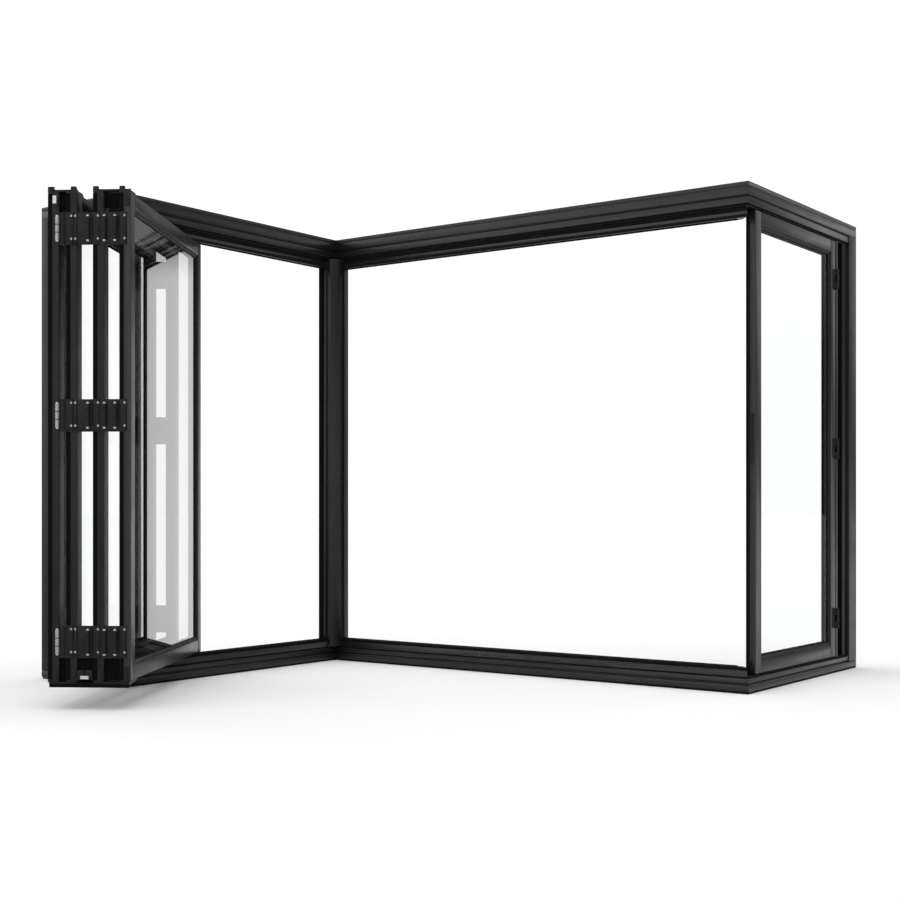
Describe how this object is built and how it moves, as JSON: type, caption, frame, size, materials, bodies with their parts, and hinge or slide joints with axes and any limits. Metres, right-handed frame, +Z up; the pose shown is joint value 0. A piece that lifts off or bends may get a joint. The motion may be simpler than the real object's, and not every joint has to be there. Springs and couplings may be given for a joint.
{
  "type": "corner bifold patio door",
  "caption": "Black aluminium patio door on a zig-zag plan: glazed leaves folded at one corner, open runs beside the inner corner, and a glazed swing door in the last run.",
  "frame": {"origin": "on the floor, where the centre lines of runs A and B meet, under the inner corner post", "axes": "+Z up, +X along run B towards the swing door, +Y from run A towards run B"},
  "size_m": [3.1785, 3.644, 2.4],
  "materials": {
    "frame": "satin black powder coat",
    "beads": "matt black powder coat with rubber gaskets",
    "glass": "clear sealed unit",
    "fittings": "satin black, with bright pins and screws"
  },
  "bodies": {
    "frame": {"head_d": "frame", "head_a": "frame", "head_b": "frame", "head_c": "frame", "sill_d": "frame", "sill_a": "frame", "sill_b": "frame", "sill_c": "frame", "left_jamb": "frame", "inner_corner_post": "frame", "right_jamb": "frame", "leaf_1_stiles": "frame", "leaf_1_rails": "frame", "leaf_1_glass": "glass", "leaf_1_beads": "beads", "leaf_2_stiles": "frame", "leaf_2_rails": "frame", "leaf_2_glass": "glass", "leaf_2_beads": "beads", "leaf_3_stiles": "frame", "leaf_3_rails": "frame", "leaf_3_glass": "glass", "leaf_3_beads": "beads", "leaf_4_stiles": "frame", "leaf_4_rails": "frame", "leaf_4_glass": "glass", "leaf_4_beads": "beads", "near_hinges": "fittings", "middle_catches": "fittings", "far_hinges": "fittings", "top_carriages": "fittings", "bottom_guides": "fittings", "track_rollers": "fittings", "guide_pins": "fittings", "jamb_hinge_leaves": "fittings"},
    "door": {"door_stiles": "frame", "door_rails": "frame", "door_glass": "glass", "door_beads": "beads", "door_hinge_leaves": "fittings", "door_lock_plate": "fittings"}
  },
  "joints": [
    {"name": "door_swing", "type": "hinge", "parent": "frame", "child": "door", "pos_m": [2.5795, 1.065, 1.2], "axis": [0, 0, 1], "range_deg": [0, 90]}
  ]
}
